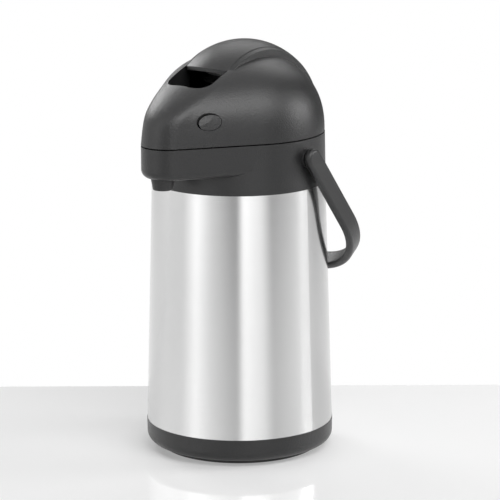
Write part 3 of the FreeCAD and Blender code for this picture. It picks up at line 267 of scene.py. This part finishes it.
@dataclass(frozen=True)
class MouldedPlastic(Finish):
    """Spark-eroded moulded plastic: fine grain, faint mottle, satin gloss."""

    colour: Colour
    roughness: float
    grain: float = 1.3 * MM
    grain_depth: float = 0.38 * MM
    fine_share: float = 0.3
    fine_scale: float = 2.7
    cloud_scale: float = 0.02
    cloud_share: float = 0.4
    gloss_spread: float = 0.08
    mottle: float = 0.2
    dust: float = 0.06

    def make(self) -> bpy.types.Material:
        """Makes the material.

        Returns:
            The plastic's material.
        """
        sheet = NodeSheet(self.name())
        place = sheet.add("TexCoord").outputs["Object"]
        grain = sheet.noise(place, 1 / self.grain, 4.0)
        fine = sheet.noise(place, self.fine_scale / self.grain, 2.0)
        cloud = sheet.noise(place, self.cloud_scale / self.grain, 3.0)
        pits = sheet.weighed(grain, fine, self.fine_share)
        share = sheet.weighed(pits, cloud, self.cloud_share)
        darker, lighter = scaled(self.colour, 1 - self.mottle), scaled(self.colour, 1 + self.mottle)
        colour = sheet.tint(share, darker, lighter)
        duller, glossier = self.roughness + self.gloss_spread, self.roughness - self.gloss_spread
        normal = sheet.bump(pits, self.grain_depth, 1.0)
        return sheet.surface(
            {
                "Base Color": colour,
                "Roughness": sheet.spread(pits, glossier, duller),
                "Specular IOR Level": 0.5,
                "Sheen Weight": self.dust,
                "Sheen Roughness": 0.35,
                "Normal": normal,
            }
        )


@dataclass(frozen=True)
class BrushedSteel(Finish):
    """Brushed steel: long fine lines one way, which spread the light across them."""

    colour: Colour
    roughness: float
    brushing: Brushing
    line: float = 0.35 * MM
    line_length: float = 60 * MM
    line_depth: float = 0.006 * MM
    pull: float = 0.85
    wrap_radius: float = 75 * MM
    cloud_share: float = 0.25

    def make(self) -> bpy.types.Material:
        """Makes the material.

        Returns:
            The steel's material.
        """
        sheet = NodeSheet(self.name())
        place = sheet.add("TexCoord").outputs["Object"]
        parts = sheet.add("SeparateXYZ", {0: place})
        turn = sheet.math("ARCTAN2", parts.outputs["Y"], parts.outputs["X"])
        along, across = self.wrap_radius / self.line_length, 1 / self.line
        if self.brushing is Brushing.UPRIGHT:
            along, across = self.wrap_radius / self.line, 1 / self.line_length
        lines_at = sheet.add(
            "CombineXYZ",
            {0: sheet.math("MULTIPLY", turn, along), 1: sheet.math("MULTIPLY", parts.outputs["Z"], across)},
        ).outputs[0]
        lines = sheet.noise(lines_at, 1.0, 5.0)
        cloud = sheet.noise(place, 25.0, 2.0)
        share = sheet.weighed(lines, cloud, self.cloud_share)
        tangent = sheet.add("Tangent", direction_type="RADIAL", axis="Z").outputs[0]
        quarter = 0.25 if self.brushing is Brushing.ROUND else 0.0
        return sheet.surface(
            {
                "Base Color": sheet.tint(share, scaled(self.colour, 0.93), scaled(self.colour, 1.05)),
                "Metallic": 1.0,
                "Roughness": sheet.spread(lines, self.roughness - 0.06, self.roughness + 0.06),
                "Anisotropic": self.pull,
                "Anisotropic Rotation": quarter,
                "Tangent": tangent,
                "Normal": sheet.bump(lines, self.line_depth, 0.35),
            }
        )


@dataclass(frozen=True)
class PlatedSteel(Finish):
    """Plated steel wire and pins: bright, with faint drawn scratches."""

    colour: Colour
    roughness: float = 0.22

    def make(self) -> bpy.types.Material:
        """Makes the material.

        Returns:
            The plated steel's material.
        """
        sheet = NodeSheet(self.name())
        place = sheet.add("TexCoord").outputs["Object"]
        scratches = sheet.noise(place, 900.0, 4.0)
        cloud = sheet.noise(place, 140.0, 2.0)
        return sheet.surface(
            {
                "Base Color": sheet.tint(cloud, scaled(self.colour, 0.88), scaled(self.colour, 1.06)),
                "Metallic": 1.0,
                "Roughness": sheet.spread(scratches, self.roughness - 0.08, self.roughness + 0.12),
                "Normal": sheet.bump(scratches, 0.01 * MM, 0.3),
            }
        )


@dataclass(frozen=True)
class SoftRubber(Finish):
    """Rubber or silicone: dull, dusty, with a fine moulded skin."""

    colour: Colour
    roughness: float = 0.72

    def make(self) -> bpy.types.Material:
        """Makes the material.

        Returns:
            The rubber's material.
        """
        sheet = NodeSheet(self.name())
        place = sheet.add("TexCoord").outputs["Object"]
        skin = sheet.noise(place, 1400.0, 3.0)
        dust = sheet.noise(place, 60.0, 5.0)
        return sheet.surface(
            {
                "Base Color": sheet.tint(dust, scaled(self.colour, 0.85), scaled(self.colour, 1.3)),
                "Roughness": sheet.spread(skin, self.roughness - 0.1, self.roughness + 0.12),
                "Specular IOR Level": 0.4,
                "Normal": sheet.bump(skin, 0.04 * MM, 0.4),
            }
        )


DARK_PLASTIC = MouldedPlastic(Slot.DARK_PLASTIC, (0.015, 0.015, 0.0155), 0.35)
BUTTON_PLASTIC = MouldedPlastic(Slot.BUTTON_PLASTIC, (0.013, 0.013, 0.0135), 0.40)
INNER_PLASTIC = MouldedPlastic(
    Slot.INNER_PLASTIC, (0.42, 0.42, 0.41), 0.35, grain_depth=0.02 * MM, mottle=0.05
)
CASING_STEEL = BrushedSteel(Slot.CASING_STEEL, (0.62, 0.62, 0.62), 0.23, Brushing.ROUND)
FLASK_STEEL = BrushedSteel(Slot.FLASK_STEEL, (0.62, 0.62, 0.61), 0.34, Brushing.UPRIGHT)
HARDWARE_STEEL = PlatedSteel(Slot.HARDWARE_STEEL, (0.62, 0.62, 0.62))
BLACK_RUBBER = SoftRubber(Slot.BLACK_RUBBER, (0.022, 0.022, 0.022))
PALE_SEAL = SoftRubber(Slot.PALE_SEAL, (0.52, 0.51, 0.47), 0.6)


class Wardrobe:
    """Makes each finish once and hands it out."""

    def __init__(self) -> None:
        """Starts with no finish made."""
        self.made: Dict[str, bpy.types.Material] = {}

    def material(self, finish: Finish) -> bpy.types.Material:
        """Material of a finish.

        Args:
            finish: the finish.

        Returns:
            Its material, made at the first call.
        """
        if finish.name() not in self.made:
            self.made[finish.name()] = finish.make()
        return self.made[finish.name()]

    def dress(self, piece: bpy.types.Object, finish: Finish) -> None:
        """Gives a piece a finish and nothing else.

        Args:
            piece: the piece.
            finish: its finish.
        """
        piece.data.materials.clear()
        piece.data.materials.append(self.material(finish))


WARDROBE = Wardrobe()


def mesh_piece(name: str, points: Sequence[Vector], faces: Sequence[Sequence[int]]) -> bpy.types.Object:
    """A new smooth mesh object in the pot's frame.

    Args:
        name: the piece's name.
        points: its corners.
        faces: its faces by corner number.

    Returns:
        The object, linked to the scene.
    """
    mesh = bpy.data.meshes.new(name)
    mesh.from_pydata([tuple(spot) for spot in points], [], [tuple(face) for face in faces])
    made = bmesh.new()
    made.from_mesh(mesh)
    bmesh.ops.remove_doubles(made, verts=made.verts, dist=1e-6)
    bmesh.ops.recalc_face_normals(made, faces=made.faces)
    made.to_mesh(mesh)
    made.free()
    mesh.shade_smooth()
    piece = bpy.data.objects.new(name, mesh)
    bpy.context.scene.collection.objects.link(piece)
    return piece


def rings_faces(rings: int, sides: int, closed: bool) -> List[List[int]]:
    """Faces between rings of corners that follow each other.

    Args:
        rings: number of rings.
        sides: corners in each.
        closed: whether the last ring joins the first.

    Returns:
        Faces by corner number.
    """
    faces = []
    for ring in range(rings if closed else rings - 1):
        here, there = ring * sides, (ring + 1) % rings * sides
        for side in range(sides):
            after = (side + 1) % sides
            faces.append([here + side, here + after, there + after, there + side])
    return faces


@dataclass
class Casing:
    """Steel casing and the flask inside it."""

    casing: str = "outer_shell"
    flask: Tuple[str, ...] = ("flask_outer_wall", "flask_inner_body", "flask_inner_neck", "riser_tube")
    seals: Tuple[str, ...] = ("neck_gasket", "riser_seal")

    def build(self) -> List[bpy.types.Object]:
        """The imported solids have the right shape, so they stay."""
        return [frame["nodes"][name] for name in (self.casing, *self.flask, *self.seals)]

    def dress(self) -> None:
        """Finishes the casing, the flask and its seals."""
        WARDROBE.dress(frame["nodes"][self.casing], CASING_STEEL)
        for name in self.flask:
            WARDROBE.dress(frame["nodes"][name], FLASK_STEEL)
        for name in self.seals:
            WARDROBE.dress(frame["nodes"][name], PALE_SEAL)


@dataclass
class Base:
    """Moulded base, swivel foot and what holds them."""

    moulded: Tuple[str, ...] = ("base_cup", "swivel_foot")
    rubber: Tuple[str, ...] = ("anti_slip_pad", "flask_cushion")
    metal: Tuple[str, ...] = ("swivel_washer", "swivel_screw")
    glide: str = "glide_ring"

    def build(self) -> List[bpy.types.Object]:
        """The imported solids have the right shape, so they stay."""
        return [frame["nodes"][name] for name in (*self.moulded, *self.rubber, *self.metal, self.glide)]

    def dress(self) -> None:
        """Finishes the base and the foot."""
        for names, finish in (
            (self.moulded, DARK_PLASTIC),
            (self.rubber, BLACK_RUBBER),
            (self.metal, HARDWARE_STEEL),
            ((self.glide,), INNER_PLASTIC),
        ):
            for name in names:
                WARDROBE.dress(frame["nodes"][name], finish)


@dataclass
class Head:
    """Collar with its nose, nozzle and handle."""

    moulded: Tuple[str, ...] = ("collar", "carry_handle")
    nozzle: Tuple[str, ...] = ("spout_nozzle",)
    inner: Tuple[str, ...] = ("pour_tube", "mouth_ring")
    metal: Tuple[str, ...] = ("lid_hinge_pin", "handle_pivot_pins")

    def build(self) -> List[bpy.types.Object]:
        """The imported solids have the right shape, so they stay."""
        names = (*self.moulded, *self.nozzle, *self.inner, *self.metal)
        return [frame["nodes"][name] for name in names]

    def dress(self) -> None:
        """Finishes the collar, the nozzle, the handle and the pins."""
        for names, finish in (
            (self.moulded, DARK_PLASTIC),
            (self.nozzle, BUTTON_PLASTIC),
            (self.inner, INNER_PLASTIC),
            (self.metal, HARDWARE_STEEL),
        ):
            for name in names:
                WARDROBE.dress(frame["nodes"][name], finish)


@dataclass
class Lid:
    """Moulded lid with its lever, buttons and inner plate."""

    moulded: Tuple[str, ...] = ("lid_shell", "pump_lever")
    buttons: Tuple[str, ...] = ("latch_button_right", "latch_button_left")
    inner: Tuple[str, ...] = ("lid_base", "bellows_plate")
    seals: Tuple[str, ...] = ("lid_gasket", "air_valve")
    metal: Tuple[str, ...] = ("lid_screws", "lever_pin")

    def build(self) -> List[bpy.types.Object]:
        """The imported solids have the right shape, so they stay."""
        names = (*self.moulded, *self.buttons, *self.inner, *self.seals, *self.metal)
        return [frame["nodes"][name] for name in names]

    def dress(self) -> None:
        """Finishes the lid and what it carries."""
        for names, finish in (
            (self.moulded, DARK_PLASTIC),
            (self.buttons, BUTTON_PLASTIC),
            (self.inner, INNER_PLASTIC),
            (self.seals, PALE_SEAL),
            (self.metal, HARDWARE_STEEL),
        ):
            for name in names:
                WARDROBE.dress(frame["nodes"][name], finish)


@dataclass
class Bellows:
    """Folded rubber pump."""

    node: str = "bellows"
    body: str = "lid"
    folds: int = 6
    fold_depth: float = 7.0 * MM
    cuff: float = 3.0 * MM
    wall: float = 0.9 * MM
    stroke: float = 12.5 * MM
    sides: int = 72
    steps: int = 10
    piece: Optional[bpy.types.Object] = None

    def profile(self, height: float, radius: float) -> List[Tuple[float, float]]:
        """Outer line of the folds from the bottom cuff to the top one.

        Args:
            height: height of the whole bellows.
            radius: radius at the top of a fold.

        Returns:
            Radius and height of each step.
        """
        inner = radius - self.fold_depth
        line = [(inner, 0.0)]
        pitch = (height - 2 * self.cuff) / self.folds
        for step in range(self.folds * self.steps + 1):
            swell = 0.5 - 0.5 * math.cos(2 * math.pi * step / self.steps)
            line.append((inner + self.fold_depth * swell, self.cuff + pitch * step / self.steps))
        line.append((inner, height))
        return line

    def build(self) -> bpy.types.Object:
        """Turns the folds round their axis, with a wall of even thickness.

        Returns:
            The bellows.
        """
        low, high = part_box(self.node)
        middle = (low + high) / 2
        outside = self.profile(high.z - low.z, (high.x - low.x) / 2)
        inside = [(radius - self.wall, height) for radius, height in reversed(outside)]
        points = []
        for radius, height in outside + inside:
            for side in range(self.sides):
                turn = 2 * math.pi * side / self.sides
                aside, along = radius * math.cos(turn), radius * math.sin(turn)
                points.append(Vector((middle.x + aside, middle.y + along, low.z + height)))
        faces = rings_faces(len(outside) + len(inside), self.sides, True)
        self.piece = mesh_piece("rubber_bellows", points, faces)
        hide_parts(self.node)
        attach(self.piece, self.body)
        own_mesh(self.piece)
        return self.piece

    def dress(self) -> None:
        """Finishes the bellows in black rubber."""
        WARDROBE.dress(self.piece, BLACK_RUBBER)


@dataclass
class Coil:
    """Wire spring between two faces."""

    name: str
    node: str
    joint: Joint
    start: Vector
    axis: Vector
    length: float
    radius: float
    wire: float
    turns: int
    stroke: float
    body: str = "lid"
    steps: int = 28
    sides: int = 10
    piece: Optional[bpy.types.Object] = None

    def build(self) -> bpy.types.Object:
        """Winds the wire, with each end lying flat on its face.

        Returns:
            The spring.
        """
        upright = self.axis.to_track_quat("Z", "Y")
        count = self.turns * self.steps
        points = []
        for step in range(count + 1):
            turn = 2 * math.pi * step / self.steps
            climb = self.wire + (self.length - 2 * self.wire) * step / count
            out = Vector((math.cos(turn), math.sin(turn), 0))
            for side in range(self.sides):
                roll = 2 * math.pi * side / self.sides
                reach = self.radius + self.wire * math.cos(roll)
                spot = out * reach + Vector((0, 0, climb + self.wire * math.sin(roll)))
                points.append(self.start + upright @ spot)
        faces = rings_faces(count + 1, self.sides, False)
        faces.append(list(range(self.sides)))
        faces.append([count * self.sides + side for side in range(self.sides)])
        self.piece = mesh_piece(self.name, points, faces)
        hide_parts(self.node)
        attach(self.piece, self.body)
        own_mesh(self.piece)
        return self.piece

    def dress(self) -> None:
        """Finishes the spring in plated steel."""
        WARDROBE.dress(self.piece, HARDWARE_STEEL)


@dataclass
class Springs:
    """The lever's return spring and the two latch springs."""

    lever_wire: float = 0.8 * MM
    lever_turns: int = 7
    lever_stroke: float = 12.5 * MM
    latch_wire: float = 0.3 * MM
    latch_radius: float = 2.6 * MM
    latch_turns: int = 4
    latch_length: float = 6.0 * MM
    latch_stroke: float = 2.5 * MM
    coils: List[Coil] = field(default_factory=list)

    def lever_coil(self) -> Coil:
        """The coil inside the bellows."""
        low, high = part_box("return_spring")
        foot = Vector(((low.x + high.x) / 2, (low.y + high.y) / 2, low.z))
        radius = (high.x - low.x) / 2 - self.lever_wire
        return Coil(
            "lever_return_spring",
            "return_spring",
            Joint.LEVER,
            foot,
            Vector((0, 0, 1)),
            high.z - low.z,
            radius,
            self.lever_wire,
            self.lever_turns,
            self.lever_stroke,
        )

    def latch_coil(self, side: str, joint: Joint) -> Coil:
        """A coil behind one latch button, wound along the button's travel.

        Args:
            side: right or left.
            joint: the button's joint.

        Returns:
            The coil.
        """
        node = "latch_spring_" + side
        low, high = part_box(node)
        travel = next(j for j in frame["joints"] if j["name"] == joint.value)["axis"]
        outward = -Vector(travel).normalized()
        start = (low + high) / 2 - outward * (self.latch_length / 2)
        return Coil(
            "latch_return_spring_" + side,
            node,
            joint,
            start,
            outward,
            self.latch_length,
            self.latch_radius,
            self.latch_wire,
            self.latch_turns,
            self.latch_stroke,
        )

    def build(self) -> List[bpy.types.Object]:
        """Winds all three.

        Returns:
            The springs.
        """
        self.coils = [
            self.lever_coil(),
            self.latch_coil("right", Joint.LATCH_RIGHT),
            self.latch_coil("left", Joint.LATCH_LEFT),
        ]
        return [coil.build() for coil in self.coils]

    def dress(self) -> None:
        """Finishes all three."""
        for coil in self.coils:
            coil.dress()


@dataclass(frozen=True)
class Panel:
    """One upright stretch of the light tent: its place, in degrees from the camera, and its level."""

    place: float
    level: float


@dataclass(frozen=True)
class SoftBox:
    """A lamp's place, seen from the pot's head, its face and how bright that face is."""

    name: str
    offset: float
    elevation: float
    away: float
    size: Tuple[float, float]
    level: float


@dataclass
class Studio:
    """Pale floor, white surround, light tent, lamps and camera."""

    azimuth: float = 39.2
    pitch: float = 12.70
    roll: float = 0.2134
    camera_height: float = 715.5 * MM
    camera_back: float = 2434.4 * MM
    camera_side: float = 9.22 * MM
    focal: float = 214.69
    sensor: float = 36.0
    floor_reach: float = 6.0
    floor_edge: float = 0.18
    tent_radius: float = 1.4
    tent_half_height: float = 3.0
    tent_sides: int = 144
    surround_fill: float = 0.12
    floor_glow: float = 0.33
    head: Vector = field(default_factory=lambda: Vector((0, 0, 0.29)))
    boxes: Tuple[SoftBox, ...] = (
        SoftBox("left_back_box", -144, 28, 1.2, (0.42, 0.46), 6.5),
        SoftBox("front_box", 29, 42, 1.2, (1.0, 0.56), 5.5),
        SoftBox("right_box", 95, 14, 1.2, (0.4, 0.45), 9.0),
        SoftBox("back_box", 165, 44, 1.2, (1.0, 0.7), 2.0),
    )
    panels: Tuple[Panel, ...] = (
        Panel(-180, 0.10),
        Panel(-104, 1.20),
        Panel(-74, 1.15),
        Panel(-55, 2.30),
        Panel(-36, 1.20),
        Panel(-2, 0.08),
        Panel(6, 2.10),
        Panel(29, 1.35),
        Panel(42, 0.23),
        Panel(90, 1.05),
        Panel(106, 0.10),
        Panel(180, 0.10),
    )

    def heading(self, offset: float) -> Vector:
        """Level direction from the pot toward the camera, turned by an offset to the right.

        Args:
            offset: degrees.

        Returns:
            A unit vector.
        """
        turn = math.radians(self.azimuth + offset)
        return Vector((math.sin(turn), -math.cos(turn), 0))

    def camera(self) -> None:
        """Makes the camera at the photograph's viewing angle."""
        data = bpy.data.cameras.new("view")
        data.lens, data.sensor_width = self.focal, self.sensor
        data.clip_start, data.clip_end = 0.05, 60.0
        holder = bpy.data.objects.new("view", data)
        bpy.context.scene.collection.objects.link(holder)
        toward = self.heading(0)
        right = self.heading(90)
        stand = toward * self.camera_back + right * self.camera_side
        holder.location = stand + Vector((0, 0, self.camera_height))
        dip = math.radians(self.pitch)
        look = -toward * math.cos(dip) - Vector((0, 0, math.sin(dip)))
        holder.rotation_mode = "QUATERNION"
        level = look.to_track_quat("-Z", "Y")
        holder.rotation_quaternion = level @ Quaternion((0, 0, 1), -math.radians(self.roll))
        bpy.context.scene.camera = holder

    def floor(self) -> bpy.types.Object:
        """Pale floor with a soft shine, white beyond a line behind the pot.

        Returns:
            The floor.
        """
        reach = self.floor_reach
        signs = ((-1, -1), (1, -1), (1, 1), (-1, 1))
        corners = [Vector((x * reach, y * reach, 0)) for x, y in signs]
        floor = mesh_piece("pale_floor", corners, [[0, 1, 2, 3]])
        sheet = NodeSheet("pale_floor_finish")
        place = sheet.add("TexCoord").outputs["Object"]
        away = -self.heading(0)
        depth = sheet.along(place, away)
        far = sheet.math("GREATER_THAN", depth, self.floor_edge)
        cloud = sheet.noise(place, 3.0, 2.0)
        rays = sheet.add("LightPath").outputs
        mirrored = sheet.math("MAXIMUM", rays["Is Glossy Ray"], rays["Is Transmission Ray"])
        seen = sheet.math("MAXIMUM", rays["Is Camera Ray"], mirrored)
        shader = sheet.add(
            "BsdfPrincipled",
            {
                "Base Color": sheet.tint(cloud, (0.74, 0.74, 0.74), (0.76, 0.76, 0.76)),
                "Roughness": 0.07,
                "IOR": 1.5,
                "Emission Color": (1, 1, 1, 1),
                "Emission Strength": sheet.math("MULTIPLY", seen, self.floor_glow),
            },
        )
        white = sheet.add("Emission", {"Color": (1, 1, 1, 1), "Strength": 1.0})
        mixed = sheet.add("MixShader", {0: far, 1: shader.outputs[0], 2: white.outputs[0]})
        sheet.add("OutputMaterial", {"Surface": mixed.outputs[0]})
        floor.data.materials.append(sheet.material)
        return floor

    def tent(self) -> bpy.types.Object:
        """Ring of upright panels that only shiny surfaces see.

        Returns:
            The tent.
        """
        sides = self.tent_sides
        points = []
        for height in (-self.tent_half_height, self.tent_half_height):
            for side in range(sides):
                turn = self.heading(360 * side / sides - 180)
                points.append(turn * self.tent_radius + Vector((0, 0, height)))
        tent = mesh_piece("light_tent", points, rings_faces(2, sides, False))
        sheet = NodeSheet("light_tent_finish")
        place = sheet.add("TexCoord").outputs["Object"]
        toward, right = self.heading(0), self.heading(90)
        turn = sheet.math("ARCTAN2", sheet.along(place, right), sheet.along(place, toward))
        share = sheet.math("ADD", sheet.math("MULTIPLY", turn, 0.5 / math.pi), 0.5)
        ramp = sheet.add("ValToRGB", {0: share})
        ramp.color_ramp.interpolation = "LINEAR"
        stops = ramp.color_ramp.elements
        for place_number, panel in enumerate(self.panels):
            where = panel.place / 360 + 0.5
            stop = stops[place_number] if place_number < 2 else stops.new(where)
            stop.position = where
            stop.color = (panel.level, panel.level, panel.level, 1.0)
        glow = sheet.add("Emission", {"Color": ramp.outputs[0], "Strength": 1.0})
        sheet.add("OutputMaterial", {"Surface": glow.outputs[0]})
        tent.data.materials.append(sheet.material)
        tent.visible_camera = False
        tent.visible_diffuse = False
        tent.visible_shadow = False
        tent.visible_transmission = False
        return tent

    def surround(self) -> None:
        """White for what looks straight at it or by a mirror, a plain level of light for the rest."""
        world = bpy.data.worlds.new("surround")
        bpy.context.scene.world = world
        world.use_nodes = True
        tree = world.node_tree
        tree.nodes.clear()
        rays = tree.nodes.new("ShaderNodeLightPath")
        seen = rays.outputs["Is Camera Ray"]
        for name in ("Is Glossy Ray", "Is Transmission Ray"):
            either = tree.nodes.new("ShaderNodeMath")
            either.operation = "MAXIMUM"
            tree.links.new(seen, either.inputs[0])
            tree.links.new(rays.outputs[name], either.inputs[1])
            seen = either.outputs[0]
        level = tree.nodes.new("ShaderNodeMapRange")
        tree.links.new(seen, level.inputs["Value"])
        level.inputs["To Min"].default_value = self.surround_fill
        level.inputs["To Max"].default_value = 1.0
        light = tree.nodes.new("ShaderNodeBackground")
        light.inputs["Color"].default_value = (1, 1, 1, 1)
        tree.links.new(level.outputs[0], light.inputs["Strength"])
        out = tree.nodes.new("ShaderNodeOutputWorld")
        tree.links.new(light.outputs[0], out.inputs["Surface"])

    def lamp(self, box: SoftBox) -> None:
        """A soft box that looks at the pot's head.

        Args:
            box: its place, face and brightness.
        """
        data = bpy.data.lights.new(box.name, "AREA")
        data.shape = "RECTANGLE"
        data.size, data.size_y = box.size
        data.energy = box.level * math.pi * box.size[0] * box.size[1]
        holder = bpy.data.objects.new(box.name, data)
        bpy.context.scene.collection.objects.link(holder)
        rise = math.radians(box.elevation)
        toward = self.heading(box.offset) * math.cos(rise) + Vector((0, 0, math.sin(rise)))
        holder.location = self.head + toward * box.away
        holder.rotation_mode = "QUATERNION"
        holder.rotation_quaternion = (-toward).to_track_quat("-Z", "Y")

    def build(self) -> None:
        """Sets the stage, the light and the camera."""
        self.camera()
        self.floor()
        self.tent()
        self.surround()
        for box in self.boxes:
            self.lamp(box)
        bpy.context.scene.view_settings.view_transform = "Standard"


def smooth_solids(angle: float) -> None:
    """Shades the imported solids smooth, with edges sharper than an angle left crisp.

    Args:
        angle: degrees.
    """
    for node in frame["nodes"].values():
        node.data.set_sharp_from_angle(angle=math.radians(angle))


def main() -> None:
    """Builds and dresses each sub-assembly, then sets the stage."""
    logging.basicConfig(level=logging.INFO, format="%(message)s")
    smooth_solids(SHARP_ANGLE)
    for part in (Base(), Casing(), Head(), Lid(), Bellows(), Springs()):
        made = part.build()
        part.dress()
        for piece in made if isinstance(made, list) else [made]:
            LOG.info("%s: %s", type(part).__name__, piece.name)
    Studio().build()


if __name__ == "__main__":
    main()
